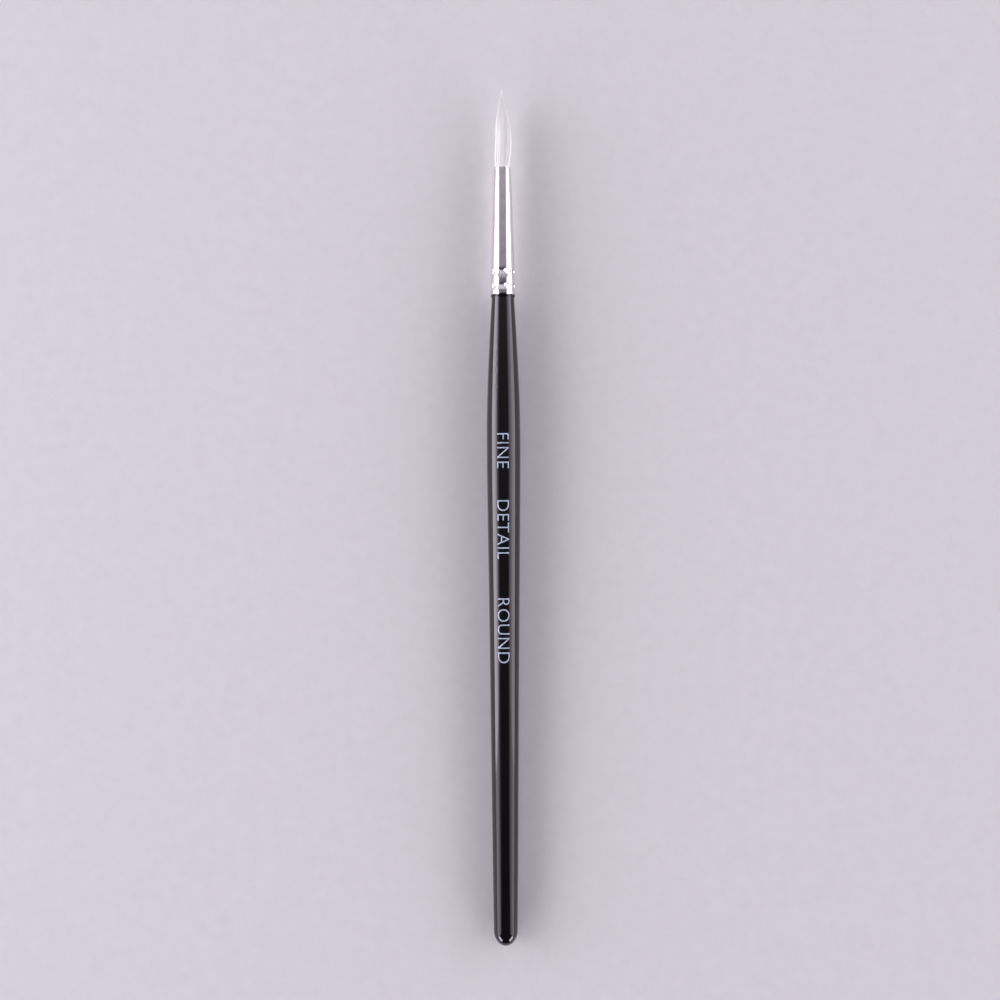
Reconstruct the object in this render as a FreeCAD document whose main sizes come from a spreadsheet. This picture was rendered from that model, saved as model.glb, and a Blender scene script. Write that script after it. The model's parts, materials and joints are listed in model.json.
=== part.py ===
"""Fine detail brush: a round artist's brush of the small hobby kind, lying on a table.

A turned wooden handle under a dipped lacquer coat carries a drawn metal ferrule, crimped round its
tenon in two rings. The ferrule holds a tied bundle of filaments in epoxy, and the bundle stands out
of its mouth as a pointed tuft. The tuft flexes, and turns here about the centre of the mouth.

Every piece is turned about one axis, so each is drawn as a half section: a radius, and a station,
which is the distance along the axis from the butt of the handle. Millimetres throughout.
Row frame: +Y runs from the butt to the tip, +Z is up, and the origin is on the table, under the
middle of the brush. The handle's swell rests on z = 0.
"""

import FreeCAD, Part
import Sketcher
import math
import os

from FreeCAD import Placement, Rotation, Vector

DIMENSIONS = {
    # lengths along the axis
    "handle_out": (147.6, "butt of the handle to the rear edge of the ferrule"),
    "ferrule_length": (29.0, "rear edge of the ferrule to its mouth"),
    "hair_out": (18.4, "mouth of the ferrule to the tip of the tuft"),
    # handle outline, over the lacquer
    "neck_radius": (2.50, "front end of the lacquer, inside the ferrule"),
    "neck_station": (148.3, "where the lacquer stops"),
    "flank_radius": (3.70, "control point between neck and swell"),
    "flank_station": (128.0, "its station"),
    "swell_radius": (3.84, "the thickest place, which also sets the axis height"),
    "swell_station": (113.0, "its station"),
    "swell_fore": (8.8, "reach of the level stretch towards the neck"),
    "swell_aft": (6.5, "reach of the level stretch towards the butt"),
    "taper_radius_one": (3.48, "control point down the taper"),
    "taper_station_one": (80.0, "its station"),
    "taper_radius_two": (3.21, "control point down the taper"),
    "taper_station_two": (52.0, "its station"),
    "taper_radius_three": (2.98, "control point down the taper"),
    "taper_station_three": (24.0, "its station"),
    "tail_radius": (2.74, "where the rounded butt begins"),
    "tail_station": (3.4, "length of the rounded butt"),
    "lacquer_thickness": (0.12, "dipped coat"),
    # tenon and its glue
    "tenon_radius": (2.28, "straight part of the tenon"),
    "tenon_taper": (154.8, "station where the tenon starts to taper"),
    "tenon_nose_radius": (2.06, "front end of the tenon"),
    "tenon_end": (160.3, "station of the front end of the tenon"),
    "nose_chamfer": (0.4, "chamfer on the tenon's front end"),
    "glue_gap": (0.02, "clearance between the glue and what it fills"),
    "glue_cap": (0.45, "thickness of the glue in front of the tenon"),
    # ferrule
    "wall": (0.26, "ferrule wall"),
    "mouth_radius": (1.94, "outside of the mouth"),
    "cone_radius": (2.66, "outside of the cone at the front crimp"),
    "collar_radius": (2.86, "outside of the straight collar at the rear"),
    "bulge_radius": (2.70, "edges of the bulge between the crimps"),
    "bulge_arc": (7.5, "radius of curvature of that bulge"),
    "crimp_ring_radius": (2.63, "bottom of the two crimp rings, between their dents"),
    "crimp_bite": (2.40, "inside radius under a crimp"),
    "crimp_width": (1.75, "length of each crimp ring"),
    "crimp_front": (153.6, "front edge of the front crimp"),
    "crimp_rear": (150.3, "front edge of the rear crimp"),
    "crimp_slope": (0.22, "length of each sloping side of a ring"),
    "dent_radius": (2.48, "bottom of the dents that the crimping jaws leave"),
    "dent_span": (30.0, "degrees of arc that a dent takes"),
    "dent_count": (10.0, "dents round each ring"),
    "dent_turn": (24.0, "degrees that the ferrule is turned on the handle"),
    "dent_margin": (0.12, "ring left in front of and behind a dent"),
    "dent_front_slope": (0.45, "sloping front side of a dent"),
    "dent_rear_slope": (0.35, "steeper rear side of a dent"),
    "curl_radius": (0.26, "rounding of the rear edge"),
    # bundle in the ferrule
    "bundle_gap": (0.02, "clearance between the bundle and the ferrule"),
    "bundle_butt": (163.8, "station of the cut ends of the filaments"),
    "bundle_butt_radius": (1.86, "bundle at its cut ends"),
    "waist_radius": (1.66, "bundle under the thread that ties it"),
    "waist_rear": (165.4, "rear end of the waist"),
    "waist_front": (167.1, "front end of the waist"),
    "waist_slope": (0.5, "length over which the bundle closes to its waist"),
    "socket_radius": (1.64, "hollow in the bundle's front end, round the mouth's centre"),
    "socket_depth": (0.5, "how far the bundle's front end stays behind the mouth"),
    "thread_radius": (0.13, "half the thickness of the thread"),
    "thread_pitch": (0.27, "from turn to turn"),
    "thread_turns": (5.0, "turns round the bundle"),
    "epoxy_end": (162.8, "station of the rear face of the epoxy"),
    "epoxy_front": (165.1, "station of the front edge of the epoxy"),
    # tuft
    "heel_radius": (1.60, "rounded heel of the tuft, centred on the mouth"),
    "heel_angle": (52.0, "degrees from the axis at which the tuft clears the mouth when it bends"),
    "belly_base_radius": (1.72, "tuft just ahead of the mouth"),
    "belly_radius": (1.97, "control point of the belly"),
    "belly_reach": (3.8, "its distance from the mouth"),
    "shoulder_radius": (1.76, "control point at the end of the level belly"),
    "shoulder_reach": (6.7, "its distance from the mouth"),
    "point_radius": (1.85, "control point of the taper to the point"),
    "point_reach": (10.2, "its distance from the mouth"),
    "needle_radius": (0.75, "control point of the needle"),
    "needle_reach": (14.2, "its distance from the mouth"),
    "core_radius": (0.80, "the central filaments, which make the point"),
    "core_gap": (0.01, "clearance between them and the belly"),
}

MOUTH = "dims.handle_out + dims.ferrule_length"
TIP = MOUTH + " + dims.hair_out"
CONE_END = "dims.crimp_front + dims.crimp_slope"
VERTICAL_AXIS, HORIZONTAL_AXIS = -2, -1
START, END, CENTRE = 1, 2, 3

document = FreeCAD.newDocument("detail_brush")


def make_sheet():
    """The driving dimensions, one to a row: name, plain number, note."""
    sheet = document.addObject("Spreadsheet::Sheet", "dims")
    for row, (alias, (number, note)) in enumerate(DIMENSIONS.items(), start=1):
        sheet.set(f"A{row}", alias)
        sheet.set(f"B{row}", str(number))
        sheet.setAlias(f"B{row}", alias)
        sheet.set(f"C{row}", note)
    document.recompute()
    return sheet


sheet = make_sheet()


def size(expression):
    """What an expression over the sheet's cells comes to, as a number."""
    found = sheet.evalExpression(str(expression))
    return float(getattr(found, "Value", found))


def inside(station):
    """Expression for the ferrule's inside radius in its cone, at a station's expression."""
    fall = f"(dims.cone_radius - dims.mouth_radius) / ({MOUTH} - ({CONE_END}))"
    return f"(dims.mouth_radius - dims.wall + {fall} * ({MOUTH} - ({station})))"


class HalfSection:
    """A closed outline in the plane of a body's axis, every corner bound to the sheet.

    The outline is a list. A corner is (radius, station). Between two corners, ("arc", radius, side)
    bends the edge, with side +1 to bulge left of the way travelled and -1 right of it, and
    ("curve", [(radius, station), ...]) makes it a spline with those control points inside it.
    """

    def __init__(self, body, name, outline):
        self.sketch = body.newObject("Sketcher::SketchObject", name)
        attach_to_axis_plane(body, self.sketch)
        self.count = 0
        steps = corners_and_bends(outline)
        edges = []
        for (corner, bend), (next_corner, _) in zip(steps, steps[1:] + steps[:1]):
            edges.append(self.add_edge(corner, next_corner, bend))
        for (edge, _, last), (next_edge, first, _) in zip(edges, edges[1:] + edges[:1]):
            self.constrain("Coincident", edge, last, next_edge, first)
        for (edge, first, _), (corner, bend) in zip(edges, steps):
            self.place(edge, first, *corner)
            if bend and bend[0] == "arc":
                self.bind(self.constrain("Radius", edge, size(bend[1])), bend[1])

    def constrain(self, *facts):
        return self.sketch.addConstraint(Sketcher.Constraint(*facts))

    def bind(self, constraint, expression):
        """Names a dimension and lets the sheet drive it."""
        name = f"size_{self.count}"
        self.count += 1
        self.sketch.renameConstraint(constraint, name)
        self.sketch.setExpression(f"Constraints.{name}", str(expression))

    def place(self, edge, end, radius, station):
        """Holds a point at a radius and a station."""
        for kind, across, distance in (
            ("DistanceX", VERTICAL_AXIS, radius),
            ("DistanceY", HORIZONTAL_AXIS, station),
        ):
            if abs(size(distance)) < 1e-9:
                self.constrain("PointOnObject", edge, end, across)
            else:
                made = self.constrain(kind, HORIZONTAL_AXIS, START, edge, end, size(distance))
                self.bind(made, distance)

    def add_edge(self, begin, finish, bend):
        """Adds one edge. Returns its number and which of its ends come first and last."""
        a = Vector(size(begin[0]), size(begin[1]), 0)
        b = Vector(size(finish[0]), size(finish[1]), 0)
        if bend is None:
            return self.sketch.addGeometry(Part.LineSegment(a, b), False), START, END
        if bend[0] == "arc":
            side = bend[2]
            made = self.sketch.addGeometry(arc_between(a, b, size(bend[1]), side), False)
            return (made, END, START) if side > 0 else (made, START, END)
        inner = [Vector(size(radius), size(station), 0) for radius, station in bend[1]]
        spline = Part.BSplineCurve([a, *inner, b], None, None, False, 3, None, False)
        made = self.sketch.addGeometry(spline, False)
        self.sketch.exposeInternalGeometry(made)
        # the spline's control points follow it as geometry of their own, its first end's first
        for number, (radius, station) in enumerate(bend[1], start=made + 2):
            self.place(number, CENTRE, radius, station)
        return made, START, END


def corners_and_bends(outline):
    """The corners of an outline, each paired with the bend that follows it, or with None."""
    steps = []
    for step in outline:
        if step[0] in ("arc", "curve"):
            steps[-1][1] = step
        else:
            steps.append([step, None])
    return steps


def attach_to_axis_plane(body, sketch):
    """Puts a sketch on the body's own upright plane, where sketch x is a radius and y a station."""
    plane = next(feature for feature in body.Origin.OriginFeatures if feature.Role == "XZ_Plane")
    sketch.AttachmentSupport = (plane, [""])
    sketch.MapMode = "FlatFace"


def arc_between(a, b, radius, side):
    """The shorter arc of that radius between a and b, bulging to the left (+1) or right (-1)."""
    chord = b - a
    left = Vector(-chord.y, chord.x, 0).normalize()
    depth = math.sqrt(max(radius**2 - chord.Length**2 / 4, 0))
    centre = (a + b) * 0.5 - left * depth * side
    first, last = (b, a) if side > 0 else (a, b)
    begin = math.atan2(first.y - centre.y, first.x - centre.x)
    finish = math.atan2(last.y - centre.y, last.x - centre.x)
    turned = (finish - begin) % (2 * math.pi)
    return Part.ArcOfCircle(Part.Circle(centre, Vector(0, 0, 1), radius), begin, begin + turned)


def new_body(name):
    body = document.addObject("PartDesign::Body", name)
    body.Label = name
    return body


def turn(body, name, outline):
    """A piece turned on a lathe from its half section."""
    section = HalfSection(body, name + "_section", outline)
    turned = body.newObject("PartDesign::Revolution", name)
    turned.Profile = section.sketch
    turned.ReferenceAxis = (section.sketch, ["V_Axis"])
    turned.Angle = 360
    document.recompute()
    return turned


def handle_outline(inset):
    """Half section of the handle from its neck to its butt, drawn in by inset all over."""
    less = f" - {inset}"
    # control points of a quarter ellipse lie this share of each half axis from its ends
    ellipse = 4 / 3 * (math.sqrt(2) - 1)
    aft = "dims.swell_station - dims.swell_aft"
    crown_start = f"dims.tail_station - (dims.tail_station{less}) * {ellipse}"
    return [
        (f"dims.neck_radius{less}", "dims.neck_station"),
        ("curve", [
            (f"dims.flank_radius{less}", "dims.flank_station"),
            (f"dims.swell_radius{less}", "dims.swell_station + dims.swell_fore"),
        ]),
        (f"dims.swell_radius{less}", "dims.swell_station"),
        ("curve", [
            (f"dims.swell_radius{less}", aft),
            (f"dims.taper_radius_one{less}", "dims.taper_station_one"),
            (f"dims.taper_radius_two{less}", "dims.taper_station_two"),
            (f"dims.taper_radius_three{less}", "dims.taper_station_three"),
        ]),
        (f"dims.tail_radius{less}", "dims.tail_station"),
        ("curve", [
            (f"dims.tail_radius{less}", crown_start),
            (f"(dims.tail_radius{less}) * {ellipse}", inset),
        ]),
        ("0", inset),
    ]


def make_handle_core():
    """Turned wood: the handle proper and the tenon that goes into the ferrule."""
    body = new_body("handle_core")
    tenon = [
        ("0", "dims.tenon_end"),
        ("dims.tenon_nose_radius - dims.nose_chamfer", "dims.tenon_end"),
        ("dims.tenon_nose_radius", "dims.tenon_end - dims.nose_chamfer"),
        ("dims.tenon_radius", "dims.tenon_taper"),
        ("dims.tenon_radius", "dims.neck_station"),
    ]
    turn(body, "turned_wood", tenon + handle_outline("dims.lacquer_thickness"))
    return body


def make_lacquer_coat():
    """The dipped coat, a thin shell over the handle that ends inside the ferrule."""
    body = new_body("lacquer_coat")
    inner = handle_outline("dims.lacquer_thickness")
    turn(body, "dipped_coat", handle_outline("0") + [inner[-1]] + reversed_outline(inner)[1:])
    return body


def reversed_outline(outline):
    """The same outline travelled the other way."""
    steps = []
    for step in reversed(outline):
        steps.append(("curve", step[1][::-1]) if step[0] == "curve" else step)
    return steps


def make_tenon_glue():
    """Glue between the tenon and the ferrule, with the drop pushed ahead of the tenon's nose."""
    body = new_body("tenon_glue")
    gap = "dims.glue_gap"
    rear = "dims.neck_station + 2 * dims.glue_gap"
    cap_front = "dims.tenon_end + dims.glue_gap + dims.glue_cap"
    outer = [(f"dims.crimp_bite - {gap}", rear)]
    outer += [(f"dims.crimp_bite - {gap}", CONE_END)]
    outer += [(f"{inside(cap_front)} - {gap}", cap_front)]
    nose = "dims.tenon_end - dims.nose_chamfer"
    inner = [
        ("0", cap_front),
        ("0", f"dims.tenon_end + {gap}"),
        (f"dims.tenon_nose_radius - dims.nose_chamfer + {gap}", f"dims.tenon_end + {gap}"),
        (f"dims.tenon_nose_radius + {gap}", nose),
        (f"dims.tenon_radius + {gap}", "dims.tenon_taper"),
        (f"dims.tenon_radius + {gap}", rear),
    ]
    turn(body, "glue_film", outer + inner)
    return body


def crimp_outer(front):
    """Corners of one crimp ring on the ferrule's outside, from its front edge to its rear one."""
    return [
        ("dims.crimp_ring_radius", f"{front} - dims.crimp_slope"),
        ("dims.crimp_ring_radius", f"{front} - dims.crimp_width + dims.crimp_slope"),
    ]


def make_ferrule():
    """Drawn tube: cone, two crimp rings with the dents of the crimping jaws, and straight collar."""
    body = new_body("ferrule")
    bulge_front = "dims.crimp_front - dims.crimp_width"
    collar_front = "dims.crimp_rear - dims.crimp_width"
    rear_edge = "dims.handle_out"
    collar_inside = "dims.collar_radius - dims.wall"
    bulge_inside = "dims.bulge_radius - dims.wall"
    lip = "dims.wall / 2"
    outer = [
        ("dims.mouth_radius", f"{MOUTH} - {lip}"),
        ("dims.cone_radius", CONE_END),
        *crimp_outer("dims.crimp_front"),
        ("dims.bulge_radius", bulge_front),
        ("arc", "dims.bulge_arc", 1),
        ("dims.bulge_radius", "dims.crimp_rear"),
        *crimp_outer("dims.crimp_rear"),
        ("dims.collar_radius", collar_front),
        ("dims.collar_radius", f"{rear_edge} + dims.curl_radius"),
        ("arc", "dims.curl_radius", 1),
        (collar_inside, rear_edge),
    ]
    inner = [
        (collar_inside, f"{collar_front} - dims.crimp_slope"),
        ("dims.crimp_bite", collar_front),
        ("dims.crimp_bite", "dims.crimp_rear"),
        (bulge_inside, "dims.crimp_rear + dims.crimp_slope"),
        (bulge_inside, f"{bulge_front} - dims.crimp_slope"),
        ("dims.crimp_bite", bulge_front),
        ("dims.crimp_bite", CONE_END),
        ("dims.mouth_radius - dims.wall", f"{MOUTH} - {lip}"),
        ("arc", lip, 1),
        (f"dims.mouth_radius - {lip}", MOUTH),
        ("arc", lip, 1),
    ]
    tube = turn(body, "drawn_tube", outer + inner)
    front_dent = cut_dent(body, "front_dent", "dims.crimp_front")
    rear_dent = cut_dent(body, "rear_dent", "dims.crimp_rear")
    pattern = body.newObject("PartDesign::PolarPattern", "dents_round_the_rings")
    pattern.Originals = [front_dent, rear_dent]
    axis = next(feature for feature in body.Origin.OriginFeatures if feature.Role == "Z_Axis")
    pattern.Axis = (axis, [""])
    pattern.Angle = 360
    pattern.setExpression("Occurrences", "dims.dent_count")
    body.Tip = pattern
    document.recompute()
    if not rear_dent.Shape.Volume < front_dent.Shape.Volume < tube.Shape.Volume:
        raise RuntimeError("a dent took nothing off the ferrule")
    if not pattern.Shape.Volume < rear_dent.Shape.Volume:
        raise RuntimeError("the dents didn't repeat round the ferrule")
    return body


def cut_dent(body, name, front):
    """One dent: a short groove pressed into a crimp ring, with a longer slope in front than behind."""
    top = "dims.collar_radius + dims.wall"
    begin = f"{front} - dims.dent_margin"
    finish = f"{front} - dims.crimp_width + dims.dent_margin"
    section = HalfSection(body, name + "_section", [
        (top, begin),
        ("dims.crimp_ring_radius", begin),
        ("dims.dent_radius", f"{begin} - dims.dent_front_slope"),
        ("dims.dent_radius", f"{finish} + dims.dent_rear_slope"),
        ("dims.crimp_ring_radius", finish),
        (top, finish),
    ])
    dent = body.newObject("PartDesign::Groove", name)
    dent.Profile = section.sketch
    dent.ReferenceAxis = (section.sketch, ["V_Axis"])
    dent.Midplane = True
    dent.setExpression("Angle", "dims.dent_span")
    document.recompute()
    return dent


def make_epoxy_plug():
    """Epoxy cup that the cut ends of the filaments are set in."""
    body = new_body("epoxy_plug")
    gap = "dims.bundle_gap"
    turn(body, "set_epoxy", [
        ("0", "dims.epoxy_end"),
        (f"{inside('dims.epoxy_end')} - {gap}", "dims.epoxy_end"),
        (f"{inside('dims.epoxy_front')} - {gap}", "dims.epoxy_front"),
        (f"dims.bundle_butt_radius + {gap}", "dims.epoxy_front"),
        (f"dims.bundle_butt_radius + {gap}", f"dims.bundle_butt - {gap}"),
        ("0", f"dims.bundle_butt - {gap}"),
    ])
    return body


def make_filament_roots():
    """The hidden half of the filament bundle: cut ends, tied waist, and the wedge in the cone."""
    body = new_body("filament_roots")
    front = f"{MOUTH} - dims.socket_depth"
    wedge = "dims.waist_front + dims.waist_slope"
    rim = "sqrt(dims.socket_radius * dims.socket_radius - dims.socket_depth * dims.socket_depth)"
    turn(body, "bound_bundle", [
        ("0", f"{MOUTH} - dims.socket_radius"),
        ("arc", "dims.socket_radius", -1),
        (rim, front),
        (f"{inside(front)} - dims.bundle_gap", front),
        (f"{inside(wedge)} - dims.bundle_gap", wedge),
        ("dims.waist_radius", "dims.waist_front"),
        ("dims.waist_radius", "dims.waist_rear"),
        ("dims.bundle_butt_radius", "dims.waist_rear - dims.waist_slope"),
        ("dims.bundle_butt_radius", "dims.bundle_butt"),
        ("0", "dims.bundle_butt"),
    ])
    return body


def make_root_thread():
    """Thread wound round the waist of the bundle to tie it."""
    body = new_body("root_thread")
    profile = body.newObject("Sketcher::SketchObject", "thread_section")
    attach_to_axis_plane(body, profile)
    run = "dims.thread_pitch * dims.thread_turns"
    reach = "dims.waist_radius + dims.thread_radius + dims.bundle_gap"
    first = f"(dims.waist_rear + dims.waist_front - {run}) / 2"
    middle = Vector(size(reach), size(first), 0)
    profile.addGeometry(Part.Circle(middle, Vector(0, 0, 1), size("dims.thread_radius")), False)
    for kind, expression, ends in (
        ("DistanceX", reach, (HORIZONTAL_AXIS, START, 0, CENTRE)),
        ("DistanceY", first, (HORIZONTAL_AXIS, START, 0, CENTRE)),
        ("Radius", "dims.thread_radius", (0,)),
    ):
        made = profile.addConstraint(Sketcher.Constraint(kind, *ends, size(expression)))
        profile.renameConstraint(made, kind.lower())
        profile.setExpression(f"Constraints.{kind.lower()}", expression)
    wound = body.newObject("PartDesign::AdditiveHelix", "wound_thread")
    wound.Profile = profile
    wound.ReferenceAxis = (profile, ["V_Axis"])
    wound.Mode = 0
    wound.setExpression("Pitch", "dims.thread_pitch")
    wound.setExpression("Height", run)
    document.recompute()
    return body


def make_tuft():
    """The part of the bundle that stands out of the mouth, as the belly and the central filaments.

    Its heel is a ball centred on the mouth, so that the tuft can bend to its limits without
    cutting into the ferrule.
    """
    envelope = new_body("tuft_envelope")
    heel_clear = "dims.belly_base_radius / tan(dims.heel_angle)"
    turn(envelope, "pointed_tuft", [
        ("0", f"{MOUTH} - dims.heel_radius"),
        ("arc", "dims.heel_radius", -1),
        ("dims.heel_radius * sin(dims.heel_angle)",
         f"{MOUTH} + dims.heel_radius * cos(dims.heel_angle)"),
        ("dims.belly_base_radius", f"{MOUTH} + {heel_clear}"),
        ("curve", [
            ("dims.belly_radius", f"{MOUTH} + dims.belly_reach"),
            ("dims.shoulder_radius", f"{MOUTH} + dims.shoulder_reach"),
            ("dims.point_radius", f"{MOUTH} + dims.point_reach"),
            ("dims.needle_radius", f"{MOUTH} + dims.needle_reach"),
        ]),
        ("0", TIP),
    ])
    point = document.addObject("Part::Common", "point_filaments")
    point.Base = envelope
    point.Tool = core_cylinder("core", "dims.core_radius")
    belly = document.addObject("Part::Cut", "belly_filaments")
    belly.Base = envelope
    belly.Tool = core_cylinder("core_hole", "dims.core_radius + dims.core_gap")
    return [belly, point]


def core_cylinder(name, radius):
    """A cylinder on the axis that reaches past both ends of the tuft."""
    cylinder = document.addObject("Part::Cylinder", name)
    cylinder.setExpression("Radius", radius)
    cylinder.setExpression("Height", "3 * dims.hair_out")
    cylinder.setExpression("Placement.Base.z", f"{MOUTH} - dims.hair_out")
    return cylinder


def lay_down(piece):
    """Puts a piece's axis level along +Y, at the height of the swell, with the origin half way."""
    level = Rotation(Vector(1, 0, 0), -90)
    if piece.Name == "ferrule":
        level = level * Rotation(Vector(0, 0, 1), size("dims.dent_turn"))
    piece.Label = piece.Name
    piece.Placement = Placement(Vector(0, 0, 0), level)
    piece.setExpression("Placement.Base.y", f"-({TIP}) / 2")
    piece.setExpression("Placement.Base.z", "dims.swell_radius")


def check(pieces):
    """Stops if any object failed to compute, or any piece isn't a sound solid."""
    for item in document.Objects:
        if {"Invalid", "Error"} & set(item.State):
            raise RuntimeError(f"{item.Name} failed: {item.State}")
    for piece in pieces:
        shape = piece.Shape
        if shape.isNull() or not shape.isValid() or not shape.Solids:
            raise RuntimeError(f"{piece.Label} has no sound solid")


def main():
    pieces = [
        make_handle_core(),
        make_lacquer_coat(),
        make_tenon_glue(),
        make_ferrule(),
        make_epoxy_plug(),
        make_filament_roots(),
        make_root_thread(),
        *make_tuft(),
    ]
    for piece in pieces:
        lay_down(piece)
    document.recompute()
    check(pieces)
    os.makedirs("parts", exist_ok=True)
    for piece in pieces:
        piece.Shape.exportStep(f"parts/{piece.Label}.step")
        box = piece.Shape.BoundBox
        print(f"{piece.Label:16s} {len(piece.Shape.Solids)} solid {piece.Shape.Volume:9.3f} mm3  "
              f"x {box.XMin:7.3f} {box.XMax:7.3f}  y {box.YMin:8.3f} {box.YMax:8.3f}  "
              f"z {box.ZMin:7.3f} {box.ZMax:7.3f}")


main()
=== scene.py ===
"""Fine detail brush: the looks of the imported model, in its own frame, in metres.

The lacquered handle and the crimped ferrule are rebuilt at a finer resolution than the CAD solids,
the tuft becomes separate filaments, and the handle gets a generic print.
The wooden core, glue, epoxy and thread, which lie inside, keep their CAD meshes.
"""

import json
import math

import bmesh
import bpy
import numpy as np
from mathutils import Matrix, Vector


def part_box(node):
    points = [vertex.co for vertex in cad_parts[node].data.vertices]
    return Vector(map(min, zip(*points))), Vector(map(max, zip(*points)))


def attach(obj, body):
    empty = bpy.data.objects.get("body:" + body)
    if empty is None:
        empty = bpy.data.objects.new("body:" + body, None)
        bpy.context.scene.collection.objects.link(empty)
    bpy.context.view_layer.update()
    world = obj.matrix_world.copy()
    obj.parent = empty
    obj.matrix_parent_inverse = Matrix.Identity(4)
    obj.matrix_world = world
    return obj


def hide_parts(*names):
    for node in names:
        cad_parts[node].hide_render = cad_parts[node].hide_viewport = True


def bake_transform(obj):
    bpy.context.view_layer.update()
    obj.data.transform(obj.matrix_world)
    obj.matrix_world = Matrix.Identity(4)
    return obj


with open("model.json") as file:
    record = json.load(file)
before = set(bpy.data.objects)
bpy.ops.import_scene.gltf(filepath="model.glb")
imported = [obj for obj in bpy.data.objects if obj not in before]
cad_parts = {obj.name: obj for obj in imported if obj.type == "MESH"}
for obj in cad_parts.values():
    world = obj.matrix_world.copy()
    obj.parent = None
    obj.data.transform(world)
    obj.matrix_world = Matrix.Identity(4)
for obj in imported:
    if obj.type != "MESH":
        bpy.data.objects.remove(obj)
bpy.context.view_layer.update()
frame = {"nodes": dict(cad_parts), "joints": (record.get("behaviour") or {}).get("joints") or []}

NODES = frame["nodes"]
ROOT, TUFT = "handle_and_ferrule", "tuft"
MM = 0.001
SAME_PLACE = 1e-6  # points closer together than this, in metres, count as one
rng = np.random.default_rng(20261118)

# the frame's own places
AXIS_Z = float(frame["joints"][0]["pos_m"][2])
MOUTH_Y = float(frame["joints"][0]["pos_m"][1])
BUTT_Y = float(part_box("lacquer_coat")[0][1])
COLLAR_Y = float(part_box("ferrule")[0][1])
TIP_Y = float(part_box("point_filaments")[1][1])
ROOTS_Y = float(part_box("filament_roots")[0][1])

# the ferrule, as in the solids: radii, and stations from its rear edge towards the mouth
COLLAR_R, BULGE_R, CROWN_R = 2.86 * MM, 2.70 * MM, 2.76 * MM
CONE_R, MOUTH_R, WALL = 2.66 * MM, 1.94 * MM, 0.26 * MM
REAR_CRIMP, FRONT_CRIMP = (0.95 * MM, 2.70 * MM), (4.25 * MM, 6.00 * MM)
CRIMP_SLOPE = 0.22 * MM
CONE_FOOT = FRONT_CRIMP[1] + CRIMP_SLOPE
FERRULE_LENGTH = MOUTH_Y - COLLAR_Y


# ---------------------------------------------------------------- reading outlines from the frame


def outer_outline(name):
    """(y, radius) along the outside of a turned CAD node, one pair per ring of its vertices."""
    on_axis, facing_out = 1e-7, 0.02
    mesh = NODES[name].data
    rings = {}
    for face in mesh.polygons:
        middle = face.center
        reach = math.hypot(middle.x, middle.z - AXIS_Z)
        if reach < on_axis:
            continue
        outward = (face.normal.x * middle.x + face.normal.z * (middle.z - AXIS_Z)) / reach
        if outward < facing_out:
            continue
        for number in face.vertices:
            spot = mesh.vertices[number].co
            rings[round(spot.y, 7)] = math.hypot(spot.x, spot.z - AXIS_Z)
    along = np.array(sorted(rings))
    return along, np.array([rings[y] for y in along])


def smooth_outline(along, reach, count):
    """A cubic through the rings, as count points evenly spaced along the outline's length."""
    gaps = np.hypot(np.diff(along), np.diff(reach))
    keep = np.r_[True, gaps > 2 * SAME_PLACE]
    along, reach = along[keep], reach[keep]
    length = np.r_[0, np.cumsum(np.hypot(np.diff(along), np.diff(reach)))]
    wanted = np.linspace(0, length[-1], count)
    return hermite(wanted, length, along), hermite(wanted, length, reach)


def hermite(wanted, knots, values):
    """Cubic interpolation whose slope at each knot is the weighted mean of its neighbours'."""
    step = np.diff(knots)
    slope = np.diff(values) / step
    inner = (slope[:-1] * step[1:] + slope[1:] * step[:-1]) / (step[1:] + step[:-1])
    tangent = np.r_[slope[0], inner, slope[-1]]
    place = np.clip(np.searchsorted(knots, wanted) - 1, 0, len(step) - 1)
    t = (wanted - knots[place]) / step[place]
    start, end = values[place], values[place + 1]
    lead, trail = tangent[place] * step[place], tangent[place + 1] * step[place]
    return (
        start * (2 * t**3 - 3 * t**2 + 1)
        + lead * (t**3 - 2 * t**2 + t)
        + end * (3 * t**2 - 2 * t**3)
        + trail * (t**3 - t**2)
    )


def smoothstep(low, high, value):
    t = np.clip((value - low) / (high - low), 0, 1)
    return t * t * (3 - 2 * t)


# ---------------------------------------------------------------- making meshes


def new_piece(name, points, faces, smooth=True):
    mesh = bpy.data.meshes.new(name)
    mesh.from_pydata(points, [], faces)
    mesh.validate()
    if smooth:
        mesh.polygons.foreach_set("use_smooth", [True] * len(mesh.polygons))
    mesh.update()
    piece = bpy.data.objects.new(name, mesh)
    bpy.context.scene.collection.objects.link(piece)
    return piece


def turned_shell(name, along, reach, segments):
    """A closed loop of (y, radius) turned about the axis. Radius may be an array per ring."""
    rings = len(along)
    angle = np.linspace(0, 2 * math.pi, segments, endpoint=False)
    reach = np.broadcast_to(np.asarray(reach).reshape(rings, -1), (rings, segments))
    points = np.empty((rings, segments, 3))
    points[:, :, 0] = reach * np.sin(angle)
    points[:, :, 1] = np.asarray(along)[:, None]
    points[:, :, 2] = AXIS_Z + reach * np.cos(angle)
    faces = []
    for ring in range(rings):
        here, there = ring * segments, ((ring + 1) % rings) * segments
        for side in range(segments):
            after = (side + 1) % segments
            faces.append((here + side, here + after, there + after, there + side))
    return new_piece(name, points.reshape(-1, 3).tolist(), faces)


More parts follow.
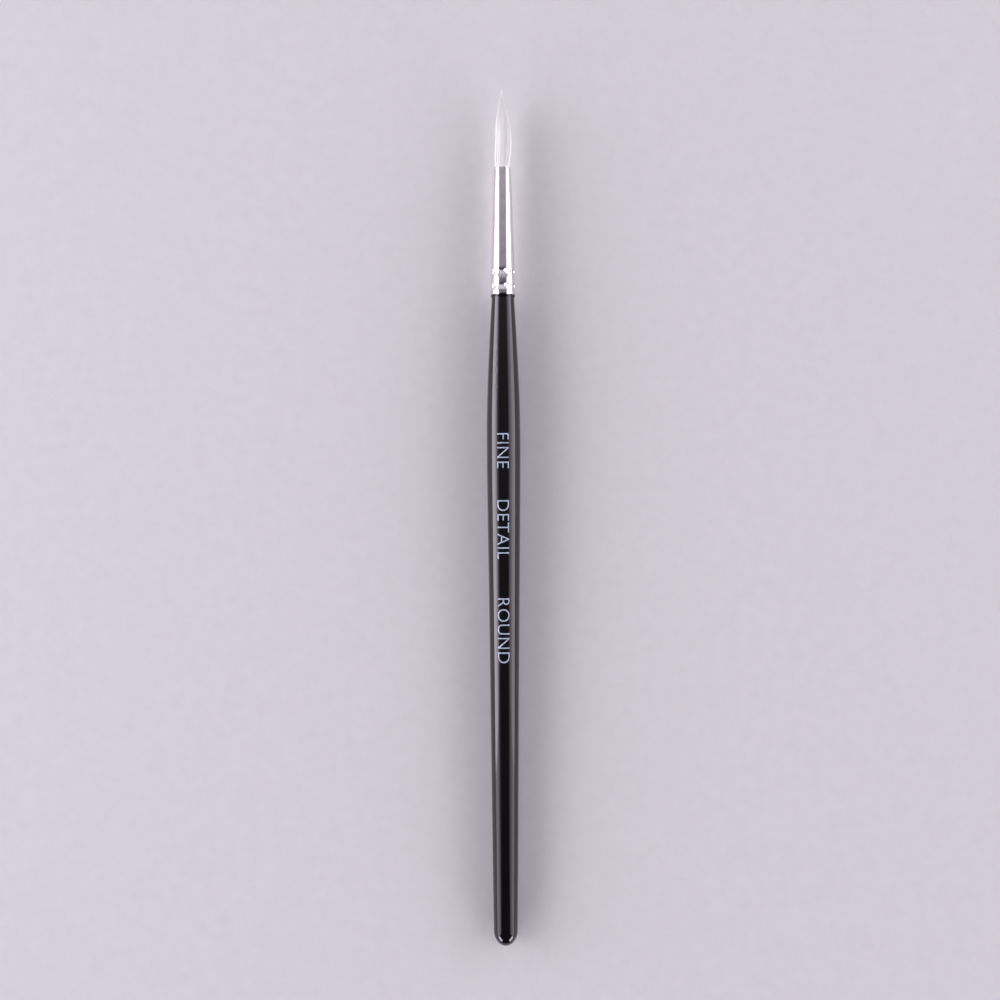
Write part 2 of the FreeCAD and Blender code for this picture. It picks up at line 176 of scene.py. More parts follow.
def turned_cup(name, outer, inner, segments):
    """A turned shell that closes on the axis at one end: outer and inner are (y, radius) arrays,
    both from the closed end to the open one. The first point of each lies on the axis."""
    outer_y, outer_r = outer
    inner_y, inner_r = inner
    angle = np.linspace(0, 2 * math.pi, segments, endpoint=False)
    walls = [(outer_y[i], outer_r[i]) for i in range(1, len(outer_y))]
    walls += [(inner_y[i], inner_r[i]) for i in range(len(inner_y) - 1, 0, -1)]
    points = []
    for y, radius in walls:
        radius = np.broadcast_to(radius, segments)
        ring = np.column_stack(
            [radius * np.sin(angle), np.full(segments, y), AXIS_Z + radius * np.cos(angle)]
        )
        points.extend(ring.tolist())
    faces = []
    for ring in range(len(walls) - 1):
        here, there = ring * segments, (ring + 1) * segments
        for side in range(segments):
            after = (side + 1) % segments
            faces.append((here + side, there + side, there + after, here + after))
    outer_pole, inner_pole = len(points), len(points) + 1
    points += [[0, float(outer_y[0]), AXIS_Z], [0, float(inner_y[0]), AXIS_Z]]
    last = (len(walls) - 1) * segments
    for side in range(segments):
        after = (side + 1) % segments
        faces.append((outer_pole, side, after))
        faces.append((inner_pole, last + after, last + side))
    return new_piece(name, points, faces)


def waves(along, angle, size, count):
    """Smooth random ripples over a turned surface, from about -1 to 1: size is their length along
    the axis, in metres."""
    total = np.zeros(np.broadcast(along, angle).shape)
    for _ in range(count):
        turns = int(rng.integers(-3, 4))
        pace = rng.uniform(0.6, 1.6) * 2 * math.pi / size
        total += np.sin(pace * along + turns * angle + rng.uniform(0, 2 * math.pi))
    return total / math.sqrt(count)


# ---------------------------------------------------------------- materials


class Finish:
    """A material with one Principled shader, and short ways to add procedural nodes to it."""

    def __init__(self, name, **sockets):
        self.material = bpy.data.materials.new(name)
        self.material.use_nodes = True
        self.nodes = self.material.node_tree.nodes
        self.links = self.material.node_tree.links
        self.shader = self.nodes["Principled BSDF"]
        for socket, value in sockets.items():
            self.shader.inputs[socket.replace("_", " ")].default_value = value
        self.place = self.nodes.new("ShaderNodeTexCoord").outputs["Object"]

    def stretched(self, scale):
        """The object's coordinates, times (x, y, z) per metre."""
        mapping = self.nodes.new("ShaderNodeMapping")
        mapping.inputs["Scale"].default_value = scale
        self.links.new(self.place, mapping.inputs["Vector"])
        return mapping.outputs["Vector"]

    def noise(self, scale, detail=3.0, roughness=0.5):
        """Noise from 0 to 1. scale is per metre, one number or one for each axis."""
        scale = scale if isinstance(scale, tuple) else (scale, scale, scale)
        texture = self.nodes.new("ShaderNodeTexNoise")
        texture.inputs["Scale"].default_value = 1.0
        texture.inputs["Detail"].default_value = detail
        texture.inputs["Roughness"].default_value = roughness
        self.links.new(self.stretched(scale), texture.inputs["Vector"])
        return texture.outputs["Fac"]

    def ramp(self, source, *stops):
        """Colours by value: stops are (value, colour)."""
        ramp = self.nodes.new("ShaderNodeValToRGB")
        elements = ramp.color_ramp.elements
        while len(elements) < len(stops):
            elements.new(0.5)
        for element, (value, colour) in zip(elements, stops):
            element.position = value
            element.color = (*colour, 1.0)
        self.links.new(source, ramp.inputs["Fac"])
        return ramp.outputs["Color"]

    def spread(self, source, low, high):
        """A value between low and high, from the middle half of a noise."""
        remap = self.nodes.new("ShaderNodeMapRange")
        ends = {"From Min": 0.25, "From Max": 0.75, "To Min": low, "To Max": high}
        for socket, value in ends.items():
            remap.inputs[socket].default_value = value
        self.links.new(source, remap.inputs["Value"])
        return remap.outputs["Result"]

    def drive(self, socket, source):
        self.links.new(source, self.shader.inputs[socket])

    def bump(self, height, depth, strength):
        """Surface relief. depth is in metres."""
        bump = self.nodes.new("ShaderNodeBump")
        bump.inputs["Strength"].default_value = strength
        bump.inputs["Distance"].default_value = depth
        self.links.new(height, bump.inputs["Height"])
        self.links.new(bump.outputs["Normal"], self.shader.inputs["Normal"])

    def dress(self, piece):
        piece.data.materials.clear()
        piece.data.materials.append(self.material)


def lacquer_finish():
    finish = Finish("black_lacquer", IOR=1.5, Coat_Weight=0.2, Coat_Roughness=0.05)
    haze = finish.noise((260.0, 60.0, 260.0), 4.0, 0.6)
    finish.drive("Roughness", finish.spread(haze, 0.06, 0.12))
    tint = finish.noise(120.0, 2.0)
    finish.drive("Base Color", finish.ramp(
        tint, (0.3, (0.0006, 0.0006, 0.0008)), (0.7, (0.0015, 0.0014, 0.002))
    ))
    peel = finish.noise((420.0, 300.0, 420.0), 2.0, 0.4)
    finish.bump(peel, 0.0000035, 0.6)
    return finish


def ferrule_finish():
    finish = Finish("bright_ferrule", Metallic=1.0)
    lines = finish.noise((9000.0, 90.0, 9000.0), 4.0, 0.6)
    cloud = finish.noise(700.0, 3.0)
    finish.drive("Roughness", finish.spread(cloud, 0.08, 0.13))
    finish.drive("Base Color", finish.ramp(
        cloud, (0.3, (0.83, 0.80, 0.79)), (0.7, (0.93, 0.90, 0.89))
    ))
    finish.bump(lines, 0.000002, 0.35)
    return finish


def filament_finish():
    finish = Finish("white_filament", IOR=1.45)
    streaks = finish.noise((3500.0, 60.0, 3500.0), 3.0)
    finish.drive("Base Color", finish.ramp(
        streaks, (0.3, (0.81, 0.82, 0.79)), (0.7, (0.87, 0.88, 0.85))
    ))
    finish.drive("Roughness", finish.spread(streaks, 0.30, 0.46))
    return finish


def print_finish():
    finish = Finish("silver_blue_print", Metallic=0.3)
    worn = finish.noise(1800.0, 4.0, 0.7)
    finish.drive("Base Color", finish.ramp(
        worn, (0.3, (0.26, 0.32, 0.40)), (0.55, (0.37, 0.44, 0.53)), (0.8, (0.45, 0.53, 0.62))
    ))
    finish.drive("Roughness", finish.spread(worn, 0.35, 0.6))
    finish.bump(worn, 0.000003, 0.5)
    return finish


def wood_finish():
    finish = Finish("turned_wood")
    grain = finish.noise((1400.0, 25.0, 500.0), 5.0, 0.6)
    finish.drive("Base Color", finish.ramp(
        grain, (0.3, (0.40, 0.25, 0.13)), (0.55, (0.58, 0.41, 0.24)), (0.8, (0.70, 0.53, 0.34))
    ))
    finish.drive("Roughness", finish.spread(grain, 0.5, 0.75))
    finish.bump(grain, 0.00002, 0.4)
    return finish


def resin_finish(name, dark, light, roughness):
    finish = Finish(name, IOR=1.5)
    cloud = finish.noise(900.0, 3.0)
    finish.drive("Base Color", finish.ramp(cloud, (0.3, dark), (0.7, light)))
    finish.drive("Roughness", finish.spread(cloud, roughness, roughness + 0.2))
    finish.bump(cloud, 0.00001, 0.3)
    return finish


def thread_finish():
    finish = Finish("tying_thread", Roughness=0.8)
    twist = finish.nodes.new("ShaderNodeTexWave")
    twist.wave_type = "BANDS"
    twist.bands_direction = "DIAGONAL"
    twist.inputs["Scale"].default_value = 1.0
    twist.inputs["Distortion"].default_value = 1.5
    finish.links.new(finish.stretched((1500.0, 1500.0, 1500.0)), twist.inputs["Vector"])
    finish.drive("Base Color", finish.ramp(
        twist.outputs["Fac"], (0.2, (0.55, 0.53, 0.48)), (0.8, (0.86, 0.84, 0.79))
    ))
    finish.bump(twist.outputs["Fac"], 0.00002, 0.6)
    return finish


# ---------------------------------------------------------------- handle

LACQUER_SINK = 0.012 * MM  # leaves room for the print inside the model's own box
LACQUER_WALL, BUTT_WALL = 0.105 * MM, 0.12 * MM
HANDLE_RINGS, HANDLE_SIDES = 420, 180
HIDDEN_RINGS = slice(12, None, 40)  # the rings that the hidden inside keeps
BEAD_LENGTH = 0.75 * MM  # lacquer that has pooled against the ferrule's rear edge
BEAD_GAP, BEAD_RINGS = 0.02 * MM, 26
SAG_DEPTH, SAG_WAVE = 0.004 * MM, 14 * MM
CALM_BUTT = 5 * MM  # over this length from the butt's end the coat's unevenness sets in
NICKS, NICK_DEPTH = 9, 0.03 * MM
NICK_PLACES = (28 * MM, 45 * MM)
NICK_WIDTHS, NICK_LENGTHS = (0.10 * MM, 0.2 * MM), (0.15 * MM, 0.45 * MM)
NICK_ANGLE, NICK_SCATTER = -0.62, 0.16  # from the top of the handle, in radians


def handle_outline():
    """(y, radius) of the CAD's lacquer, from the end of the butt to the ferrule."""
    along, reach = outer_outline("lacquer_coat")
    ahead = along > BUTT_Y + SAME_PLACE
    return np.r_[BUTT_Y, along[ahead]], np.r_[0, reach[ahead]]


HANDLE_Y, HANDLE_R = handle_outline()


def handle_radius(y):
    """Radius of the lacquered handle at y, away from the rounded butt."""
    return hermite(np.atleast_1d(y), HANDLE_Y, HANDLE_R)


def handle_rings():
    """(y, radius) of the visible lacquer, with closer rings and a bead behind the ferrule."""
    along, reach = smooth_outline(HANDLE_Y, HANDLE_R, HANDLE_RINGS)
    bead_y = np.linspace(COLLAR_Y - 1.4 * BEAD_LENGTH, COLLAR_Y + 2 * BEAD_GAP, BEAD_RINGS)
    spare = 0.05 * MM
    clear = (along < bead_y[0] - spare) | (along > bead_y[-1] + spare)
    along, reach = np.r_[along[clear], bead_y], np.r_[reach[clear], handle_radius(bead_y)]
    order = np.argsort(along)
    along, reach = along[order], np.maximum(reach[order] - LACQUER_SINK, 0)
    behind = (COLLAR_Y - BEAD_GAP - along) / BEAD_LENGTH
    bead = np.where(behind > 0, (1 - np.clip(behind, 0, 1)) ** 2, 0)
    return along, reach + (COLLAR_R - np.interp(COLLAR_Y, along, reach)) * bead


def nick(along, reach, angle):
    """A nick at a random place, as a share of its depth from 0 to 1 all over the handle."""
    nick_y = rng.uniform(*NICK_PLACES)
    nick_angle = rng.normal(NICK_ANGLE, NICK_SCATTER)
    width, length = rng.uniform(*NICK_WIDTHS), rng.uniform(*NICK_LENGTHS)
    across = (angle - nick_angle + math.pi) % (2 * math.pi) - math.pi
    return np.exp(-((across * reach / width) ** 2) - ((along - nick_y) / length) ** 2)


def make_handle():
    """The lacquer: a thick dipped coat, slightly uneven, with a few nicks ahead of the swell."""
    along, reach = handle_rings()
    angle = np.linspace(0, 2 * math.pi, HANDLE_SIDES, endpoint=False)
    uneven = waves(along[:, None], angle[None, :], SAG_WAVE, 7)
    sag = SAG_DEPTH * np.clip(0.5 + 0.3 * uneven, 0, 1)
    calm = smoothstep(0, CALM_BUTT, along - BUTT_Y)[:, None]
    surface = reach[:, None] - sag * calm
    for _ in range(NICKS):
        surface -= NICK_DEPTH * nick(along[:, None], reach[:, None], angle[None, :])
    inner_y = np.r_[BUTT_Y + BUTT_WALL, along[HIDDEN_RINGS], along[-1]]
    inner_r = np.r_[0, reach[HIDDEN_RINGS] - LACQUER_WALL, reach[-1] - LACQUER_WALL]
    outer, inner = (along, list(surface)), (inner_y, inner_r)
    piece = turned_cup("lacquered_handle", outer, inner, HANDLE_SIDES)
    lacquer_finish().dress(piece)
    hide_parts("lacquer_coat")
    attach(piece, ROOT)


# ---------------------------------------------------------------- ferrule

DENTS, DENT_TURN = 10, math.radians(-6)
DENT_FLOOR, DENT_RIM = math.radians(11.5), math.radians(16.5)  # half angles of a dent
RING_DEPTH, DENT_DEPTH = 0.04 * MM, 0.19 * MM
# where a crimp's surface falls, counted from its rear edge, and rises, counted from its front edge
RING_SLOPES = ((0, 0.45 * MM), (-0.30 * MM, 0.15 * MM))
DENT_SLOPES = ((0.10 * MM, 1.15 * MM), (-0.54 * MM, -0.10 * MM))
FERRULE_SIDES = 240
CLOSE_RINGS = (0.9 * MM, 6.4 * MM)  # the stretch with the crimps, where rings are close together
RIPPLE_DEPTH, RIPPLE_WAVE, RIPPLE_REST = 0.0016 * MM, 6 * MM, 0.35
RIPPLE_GROWS, RIPPLE_FADES = (6.3 * MM, 9 * MM), (26 * MM, 28.5 * MM)
BORE_END = 0.10 * MM


def pressed(station, crimp, slopes):
    """How far down a crimp's surface is at a station: 0 outside it, 1 at its bottom."""
    falls, rises = slopes
    down = smoothstep(crimp[0] + falls[0], crimp[0] + falls[1], station)
    return down * (1 - smoothstep(crimp[1] + rises[0], crimp[1] + rises[1], station))


def ferrule_surface(station, angle):
    """Outside radius of the ferrule, with the pressed dents of its two crimp rings."""
    straight = np.interp(
        station,
        [0, REAR_CRIMP[0], REAR_CRIMP[1], FRONT_CRIMP[0], CONE_FOOT, FERRULE_LENGTH],
        [COLLAR_R, COLLAR_R, BULGE_R, BULGE_R, CONE_R, MOUTH_R],
    )
    middle = (REAR_CRIMP[1] + FRONT_CRIMP[0]) / 2
    half = (FRONT_CRIMP[0] - REAR_CRIMP[1]) / 2
    bulge = np.clip(1 - ((station - middle) / half) ** 2, 0, None)
    reach = straight + (CROWN_R - BULGE_R) * bulge
    pitch = 2 * math.pi / DENTS
    offset = np.abs((angle - DENT_TURN + pitch / 2) % pitch - pitch / 2)
    face = 1 - smoothstep(DENT_FLOOR, DENT_RIM, offset)
    for crimp in (REAR_CRIMP, FRONT_CRIMP):
        ring = RING_DEPTH * pressed(station, crimp, RING_SLOPES)
        reach = reach - ring - DENT_DEPTH * pressed(station, crimp, DENT_SLOPES) * face
    return reach


def ferrule_bore():
    """(station, radius) along the inside of the tube, from the mouth's lip to the collar."""
    cone_fall = (CONE_R - MOUTH_R) / (FERRULE_LENGTH - CONE_FOOT)
    cone_y = np.linspace(FERRULE_LENGTH - WALL / 2, CLOSE_RINGS[1], 24)
    cone = [(y, MOUTH_R - WALL + cone_fall * (FERRULE_LENGTH - y)) for y in cone_y]
    narrow, bulged, collar = CONE_R - WALL, BULGE_R - WALL, COLLAR_R - WALL
    return cone + [
        (CONE_FOOT, narrow),
        (FRONT_CRIMP[0], narrow),
        (FRONT_CRIMP[0] - CRIMP_SLOPE, bulged),
        (REAR_CRIMP[1] + CRIMP_SLOPE, bulged),
        (REAR_CRIMP[1], narrow),
        (REAR_CRIMP[0], narrow),
        (REAR_CRIMP[0] - CRIMP_SLOPE, collar),
        (BORE_END, collar),
    ]


def make_ferrule():
    """The drawn tube, with its rolled rear edge, crimp rings and rounded mouth."""
    angle = np.linspace(0, 2 * math.pi, FERRULE_SIDES, endpoint=False)
    lip = WALL / 2
    stations = np.unique(np.round(np.r_[
        np.linspace(WALL, CLOSE_RINGS[0], 8),
        np.linspace(*CLOSE_RINGS, 140),
        np.linspace(CLOSE_RINGS[1], FERRULE_LENGTH - lip, 60),
    ], 8))
    surface = ferrule_surface(stations[:, None], angle[None, :])
    ripple = waves(stations[:, None], angle[None, :], RIPPLE_WAVE, 9)
    fade = smoothstep(*RIPPLE_GROWS, stations) * (1 - smoothstep(*RIPPLE_FADES, stations))
    surface = surface - RIPPLE_DEPTH * (1 + ripple) * (RIPPLE_REST + fade[:, None])
    rings = list(zip(stations, surface))
    for turn in np.linspace(0, math.pi, 9)[1:-1]:
        place = FERRULE_LENGTH - lip + lip * math.sin(turn)
        rings.append((place, MOUTH_R - lip + lip * math.cos(turn)))
    rings += ferrule_bore()
    for turn in np.linspace(0, math.pi / 2, 7)[:-1]:
        rings.append((WALL * (1 - math.cos(turn)), COLLAR_R - WALL * (1 - math.sin(turn))))
    along = [COLLAR_Y + y for y, _ in rings]
    reach = [np.broadcast_to(r, FERRULE_SIDES) for _, r in rings]
    piece = turned_shell("crimped_ferrule", along, np.array(reach), FERRULE_SIDES)
    ferrule_finish().dress(piece)
    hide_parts("ferrule")
    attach(piece, ROOT)


# ---------------------------------------------------------------- filaments

FILAMENTS, FILAMENT_R = 900, 0.049 * MM
TAPER_LENGTH, TIP_SHARE = 7.5 * MM, 0.14  # the tapered end, and its thickness at the tip
FALL = 0.84  # how closely filaments inside the bundle follow its outline as it narrows
GOLDEN = math.pi * (3 - math.sqrt(5))
NECK_R = 1.66 * MM
# the solids are rounded off near the mouth, so their outlines count only this far from it
ROOTS_STOP, BELLY_START = 0.4 * MM, 1.3 * MM
ROOT_STEPS = MM * np.array([0, 1.2, 2.2, 3.0, 4.4])  # a filament's rings ahead of its cut end
NECK_STEPS = MM * np.array([5, 1.5, 0])  # and behind the mouth
# each piece's share of the bundle's radius, from and to, a filament's sides and its outside rings
GROUPS = {
    "belly_filaments_outside": (0.76, 1.01, 6, 22),
    "belly_filaments_inside": (0.40, 0.76, 4, 16),
    "point_filaments_core": (0.0, 0.40, 5, 24),
}
BOW, BOW_END = 0.32 * MM, 8 * MM
POINT_SET, SET_START, SET_END = 0.42 * MM, 5 * MM, 16 * MM
SWAY, SWAY_START = 0.012, 6 * MM  # the filaments' waviness, which sets in over this length
TURN_WAVE, REACH_WAVE = 5 * MM, 3.4 * MM


def bundle_outline():
    """(y, radius) of the whole bundle, from the cut ends in the epoxy to the tip."""
    roots_y, roots_r = outer_outline("filament_roots")
    inside = roots_y < MOUTH_Y - ROOTS_STOP
    belly_y, belly_r = outer_outline("belly_filaments")
    point_y, point_r = outer_outline("point_filaments")
    outside = belly_y > MOUTH_Y + BELLY_START
    needle = point_y > belly_y[-1] + SAME_PLACE
    along = np.r_[roots_y[inside], MOUTH_Y, belly_y[outside], point_y[needle]]
    reach = np.r_[roots_r[inside], NECK_R, belly_r[outside], point_r[needle]]
    order = np.argsort(along, kind="stable")
    along, reach = along[order], reach[order]
    keep = np.r_[True, np.diff(along) > SAME_PLACE]
    return along[keep], reach[keep]


def filament(number, share, rings, outline_y, outline_r):
    """Centre line and radii of one filament: share is its place from the axis, 0, outwards."""
    widest = outline_r[outline_y > MOUTH_Y].max()
    fall_y = outline_y[np.flatnonzero(outline_r == widest)[-1]]
    falling = outline_y >= fall_y
    spin = number * GOLDEN + rng.normal(0, 0.03)
    # it ends where the narrowing bundle has no more room for it, or a little sooner
    narrowest = min(share ** (1 / (1 - FALL)) * rng.uniform(0.55, 1.1), 0.999)
    end_y = float(np.interp(-narrowest * widest, -outline_r[falling], outline_y[falling]))
    end_y = min(end_y - abs(rng.normal(0, 0.12)) * MM * (1 + 2 * share), TIP_Y)
    spaced = 1 - (1 - np.linspace(0, 1, rings)[1:]) ** 1.35
    line_y = np.r_[
        ROOTS_Y + ROOT_STEPS, MOUTH_Y - NECK_STEPS, MOUTH_Y + (end_y - MOUTH_Y) * spaced
    ]
    room = np.interp(line_y, outline_y, outline_r) - FILAMENT_R
    full = widest - FILAMENT_R
    gather = np.where(line_y > fall_y, full * np.clip(room / full, 0, 1) ** FALL, room)
    free = smoothstep(MOUTH_Y, MOUTH_Y + SWAY_START, line_y)
    phase = rng.uniform(0, 2 * math.pi, 2)
    turn = spin + SWAY * free * np.sin(line_y / TURN_WAVE + phase[0])
    breathe = 1 + SWAY * free * np.sin(line_y / REACH_WAVE + phase[1])
    reach = np.clip(share * gather * breathe, 0, room * (1 - 0.02 * abs(rng.normal())))
    taper = smoothstep(0, 1, (end_y - line_y) / TAPER_LENGTH) ** 0.8
    middle = np.column_stack([
        reach * np.sin(turn) + lean(line_y), line_y, AXIS_Z + reach * np.cos(turn)
    ])
    return middle, FILAMENT_R * (TIP_SHARE + (1 - TIP_SHARE) * taper)


def make_filaments():
    """Tapered filaments in a sunflower pattern, drawn together into a point."""
    outline = bundle_outline()
    built = {name: ([], []) for name in GROUPS}
    for number in range(FILAMENTS):
        share = math.sqrt((number + 0.5) / FILAMENTS)
        name = next(n for n, (low, high, _, _) in GROUPS.items() if low <= share < high)
        sides, rings = GROUPS[name][2:]
        middle, thick = filament(number, share, rings, *outline)
        add_tube(*built[name], middle, thick, sides)
    finish = filament_finish()
    for name, (points, faces) in built.items():
        piece = new_piece(name, np.concatenate(points).tolist(), faces)
        finish.dress(piece)
        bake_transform(piece)
        if name == "point_filaments_core":
            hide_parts("point_filaments")
        else:
            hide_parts("belly_filaments", "filament_roots")


def lean(y):
    """The tuft's slight bow to the right and its point's set to the left, in metres along X."""
    bow = BOW * smoothstep(MOUTH_Y, MOUTH_Y + BOW_END, y)
    return bow - POINT_SET * smoothstep(MOUTH_Y + SET_START, MOUTH_Y + SET_END, y)


def add_tube(points, faces, middle, thick, sides):
    """Appends one closed tube to a list of point arrays and a list of faces."""
    first = sum(len(block) for block in points)
    rings = len(middle)
    angle = np.linspace(0, 2 * math.pi, sides, endpoint=False)
    block = np.empty((rings, sides, 3))
    block[:, :, 0] = middle[:, None, 0] + thick[:, None] * np.sin(angle)
    block[:, :, 1] = middle[:, None, 1]
    block[:, :, 2] = middle[:, None, 2] + thick[:, None] * np.cos(angle)
    points.append(block.reshape(-1, 3))
    for ring in range(rings - 1):
        here, there = first + ring * sides, first + (ring + 1) * sides
        for side in range(sides):
            after = (side + 1) % sides
            faces.append((here + side, here + after, there + after, there + side))
    last = first + (rings - 1) * sides
    faces.append(tuple(first + side for side in reversed(range(sides))))
    faces.append(tuple(last + side for side in range(sides)))


# ---------------------------------------------------------------- print

PRINT_WORDS = (("FINE", 19.0 * MM), ("DETAIL", 4.0 * MM), ("ROUND", -18.0 * MM))
PRINT_HEIGHT = 2.8 * MM
PRINT_MIDDLE = -0.15 * MM
CAPITAL_SHARE = 0.7  # a capital's height in the typeface's size
PRINT_TOP, PRINT_FOOT = -0.001 * MM, -0.022 * MM  # from the surface of the CAD's lacquer
STRIP_LENGTH, STRIP_WIDTH = 0.5 * MM, 0.16 * MM


def make_print():
    """Three generic words stamped along the top of the handle, as raised foil."""
    finish = print_finish()
    for word, start_y in PRINT_WORDS:
        curve = bpy.data.curves.new("word_" + word.lower(), "FONT")
        curve.body = word
        curve.size = PRINT_HEIGHT / CAPITAL_SHARE
        curve.space_character = 1.06
        curve.offset = -0.012 * curve.size
        curve.resolution_u = 6
        typed = bpy.data.objects.new("typed", curve)
        bpy.context.scene.collection.objects.link(typed)
        bpy.context.view_layer.update()
        flat = bpy.data.meshes.new_from_object(
            typed.evaluated_get(bpy.context.evaluated_depsgraph_get())
        )
        bpy.data.objects.remove(typed)
        sheet = bmesh.new()
        sheet.from_mesh(flat)
        for vertex in sheet.verts:
            vertex.co.z = 0
        cut_into_strips(sheet)
        wrap(sheet, start_y)
        mesh = bpy.data.meshes.new("print_" + word.lower())
        sheet.to_mesh(mesh)
        sheet.free()
        piece = bpy.data.objects.new("print_" + word.lower(), mesh)
        bpy.context.scene.collection.objects.link(piece)
        finish.dress(piece)
        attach(piece, ROOT)


def cut_into_strips(sheet):
    """Cuts flat letters into small steps both ways, so that they can wrap round the handle."""
    low_x = min(vertex.co.x for vertex in sheet.verts)
    high_x = max(vertex.co.x for vertex in sheet.verts)
    low_y = min(vertex.co.y for vertex in sheet.verts)
    high_y = max(vertex.co.y for vertex in sheet.verts)
    for low, high, step, normal in (
        (low_x, high_x, STRIP_LENGTH, Vector((1, 0, 0))),
        (low_y, high_y, STRIP_WIDTH, Vector((0, 1, 0))),
    ):
        for place in np.arange(low + step, high, step):
            everything = sheet.verts[:] + sheet.edges[:] + sheet.faces[:]
            bmesh.ops.bisect_plane(sheet, geom=everything, plane_co=normal * place, plane_no=normal)


def wrap(sheet, start_y):
    """Lays the letters on the lacquer and gives them their thickness."""
    faces = sheet.faces[:]
    raised = bmesh.ops.extrude_face_region(sheet, geom=faces)["geom"]
    top = {item for item in raised if isinstance(item, bmesh.types.BMVert)}
    for vertex in sheet.verts:
        y = start_y - vertex.co.x
        radius = float(handle_radius(y)[0])
        turn = (vertex.co.y - PRINT_HEIGHT / 2 + PRINT_MIDDLE) / radius
        reach = radius + (PRINT_TOP if vertex in top else PRINT_FOOT)
        vertex.co = Vector((reach * math.sin(turn), y, AXIS_Z + reach * math.cos(turn)))
    bmesh.ops.recalc_face_normals(sheet, faces=sheet.faces[:])


# ---------------------------------------------------------------- camera, floor and light

CAMERA_DISTANCE, PICTURE_WIDTH = 0.235, 0.2274
PICTURE_MIDDLE, CAMERA_TURN = (-0.00088, 0.0037), math.radians(-0.26)
FLOOR_REACH, FLOOR_GAP = 6.0, 0.02 * MM
BUTT_HALF = -0.05  # the floor touches the handle somewhere behind this y
LIGHT_TINT = (1.0, 0.925, 1.065)
SIDE_DISTANCE = 1.1
SIDE_REAR, SIDE_DIM, SIDE_FRONT = -0.80, -0.36, 0.62  # along Y; dimmer as far as SIDE_DIM
# bands of the side softboxes: elevation of the lower and the upper edge in degrees, and radiance
LEFT_BANDS = ((3.5, 28, 6.6), (28, 36, 5.2), (36, 44, 3.0), (44, 54, 0.75))
RIGHT_BANDS = ((4.0, 15, 3.6), (15, 30, 3.5), (30, 40, 2.4), (40, 48, 1.6), (48, 56, 0.9))
LOW_HEIGHT, LOW_SIZE = 0.68, (1.4, 0.85)
# the low panels' name, x, y and radiance
LOW_PANELS = (
    ("ahead", 0.0, 2.6, 3.4),
    ("ahead_right", 1.7, 1.9, 6.6),
    ("ahead_left", -1.7, 1.9, 4.0),
    ("behind_right", 1.7, -2.1, 8.0),
    ("behind_left", -1.7, -2.1, 8.5),
)
# the room's radiance by how far a direction points along +Y, from -1 to 1
ROOM = (
    (-1.0, 0.05), (-0.35, 0.07), (0.0, 0.14), (0.22, 0.19), (0.34, 0.36), (0.5, 0.5), (1.0, 0.8)
)


def make_camera():
    """Straight above the brush, as near as the picture's perspective shows."""
    data = bpy.data.cameras.new("camera")
    data.sensor_fit = "HORIZONTAL"
    data.angle = 2 * math.atan(PICTURE_WIDTH / 2 / CAMERA_DISTANCE)
    data.clip_start = 0.01
    data.clip_end = 50
    camera = bpy.data.objects.new("camera", data)
    camera.location = (*PICTURE_MIDDLE, AXIS_Z + CAMERA_DISTANCE)
    camera.rotation_euler = (0, 0, CAMERA_TURN)
    bpy.context.scene.collection.objects.link(camera)
    bpy.context.scene.camera = camera


def make_floor():
    """Grey card under lilac light, sloped so that the swell and the butt both rest on it."""
    swell = int(HANDLE_R.argmax())
    pivot_y, widest = HANDLE_Y[swell], HANDLE_R[swell]
    rear = HANDLE_Y < BUTT_HALF
    rise = float(np.min((widest - HANDLE_R[rear]) / (pivot_y - HANDLE_Y[rear])))
    corners = ((-1, -1), (1, -1), (1, 1), (-1, 1))
    points = [
        (x * FLOOR_REACH, y * FLOOR_REACH, -(y * FLOOR_REACH - pivot_y) * rise - FLOOR_GAP)
        for x, y in corners
    ]
    floor = new_piece("floor", points, [(0, 1, 2, 3)], smooth=False)
    finish = Finish("pale_card", Roughness=0.7)
    fibre = finish.noise(350.0, 5.0, 0.6)
    finish.drive("Base Color", finish.ramp(
        fibre, (0.3, (0.498, 0.503, 0.498)), (0.7, (0.522, 0.527, 0.522))
    ))
    finish.bump(fibre, 0.00003, 0.25)
    finish.dress(floor)


def add_panel(name, middle, width, height, radiance):
    """A soft rectangular light, which the caller turns towards the brush."""
    data = bpy.data.lights.new(name, "AREA")
    data.shape = "RECTANGLE"
    data.size = width
    data.size_y = height
    data.energy = radiance * math.pi * width * height
    data.color = LIGHT_TINT
    light = bpy.data.objects.new(name, data)
    light.location = middle
    light.visible_camera = False
    bpy.context.scene.collection.objects.link(light)
    return light


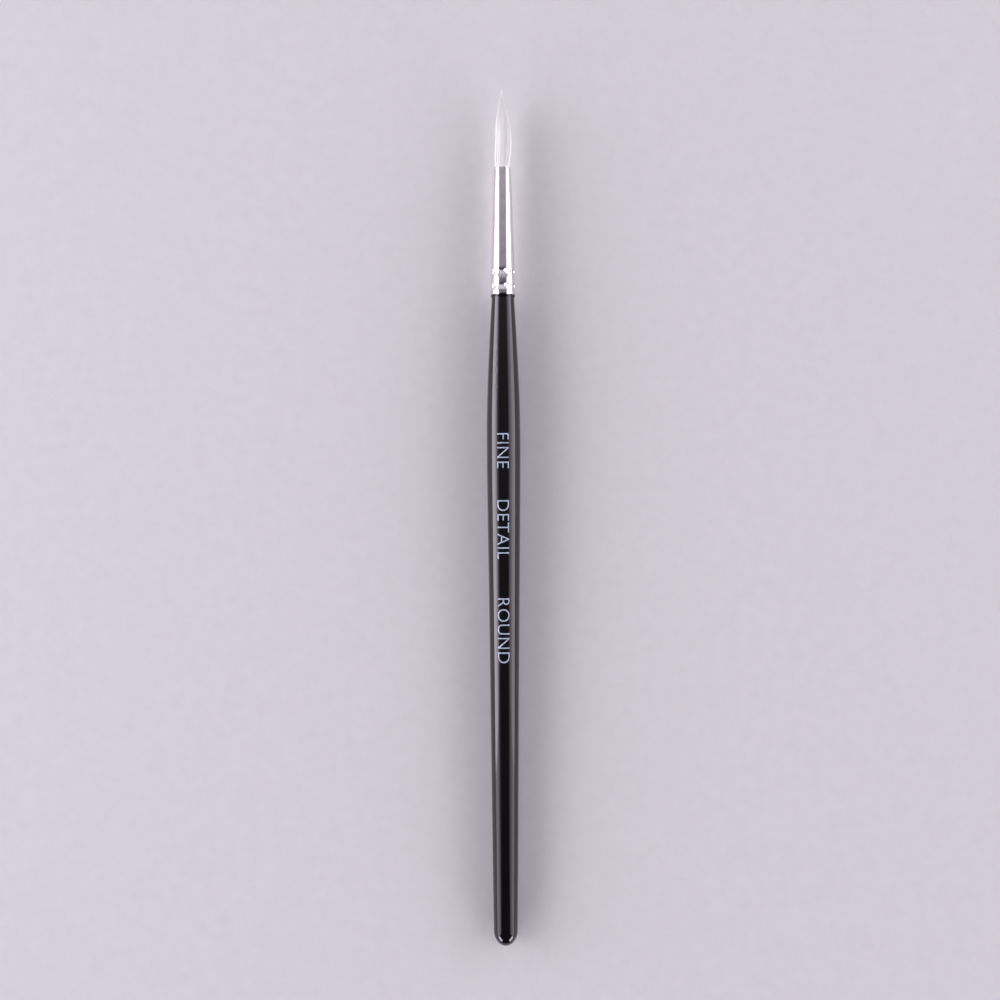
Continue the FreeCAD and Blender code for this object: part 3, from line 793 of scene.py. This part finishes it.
def add_side(label, side, bands, tail):
    """An upright softbox beside the brush. tail is its share of brightness past the butt."""
    parts = ((SIDE_REAR, SIDE_DIM, tail), (SIDE_DIM, SIDE_FRONT, 1.0))
    for row, (low, high, radiance) in enumerate(bands):
        bottom, top = (SIDE_DISTANCE * math.tan(math.radians(angle)) for angle in (low, high))
        for part, (near, far, share) in enumerate(parts):
            name = f"{label}_{row}_{part}"
            middle = (side * SIDE_DISTANCE, (near + far) / 2, (bottom + top) / 2)
            light = add_panel(name, middle, far - near, top - bottom, radiance * share)
            light.rotation_euler = (math.pi / 2, 0, side * math.pi / 2)


def make_lights():
    """Side softboxes, and low panels ahead of the tip and behind the butt."""
    add_side("left", -1, LEFT_BANDS, 0.4)
    add_side("right", 1, RIGHT_BANDS, 0.65)
    for name, x, y, radiance in LOW_PANELS:
        middle = (x, y, LOW_HEIGHT)
        panel = add_panel(name, middle, *LOW_SIZE, radiance)
        panel.rotation_euler = Vector(middle).to_track_quat("Z", "Y").to_euler()


def make_room():
    """The dim room around the lights, which is darker behind the butt."""
    world = bpy.data.worlds.new("room")
    world.use_nodes = True
    nodes, links = world.node_tree.nodes, world.node_tree.links
    background = nodes["Background"]
    split = nodes.new("ShaderNodeSeparateXYZ")
    links.new(nodes.new("ShaderNodeTexCoord").outputs["Generated"], split.inputs["Vector"])
    reach = nodes.new("ShaderNodeMapRange")
    reach.inputs["From Min"].default_value = -1
    links.new(split.outputs["Y"], reach.inputs["Value"])
    shade = nodes.new("ShaderNodeValToRGB")
    elements = shade.color_ramp.elements
    while len(elements) < len(ROOM):
        elements.new(0.5)
    for element, (ahead_share, radiance) in zip(elements, ROOM):
        element.position = (ahead_share + 1) / 2
        element.color = (*(radiance * part for part in LIGHT_TINT), 1)
    links.new(reach.outputs["Result"], shade.inputs["Fac"])
    links.new(shade.outputs["Color"], background.inputs["Color"])
    bpy.context.scene.world = world
    bpy.context.scene.view_settings.view_transform = "Standard"


def main():
    make_camera()
    make_floor()
    make_lights()
    make_room()
    make_handle()
    make_ferrule()
    make_filaments()
    make_print()
    wood_finish().dress(NODES["handle_core"])
    resin_finish("set_glue", (0.60, 0.50, 0.30), (0.78, 0.70, 0.48), 0.4).dress(NODES["tenon_glue"])
    resin_finish("amber_epoxy", (0.55, 0.36, 0.14), (0.74, 0.55, 0.28), 0.2).dress(NODES["epoxy_plug"])
    thread_finish().dress(NODES["root_thread"])


main()
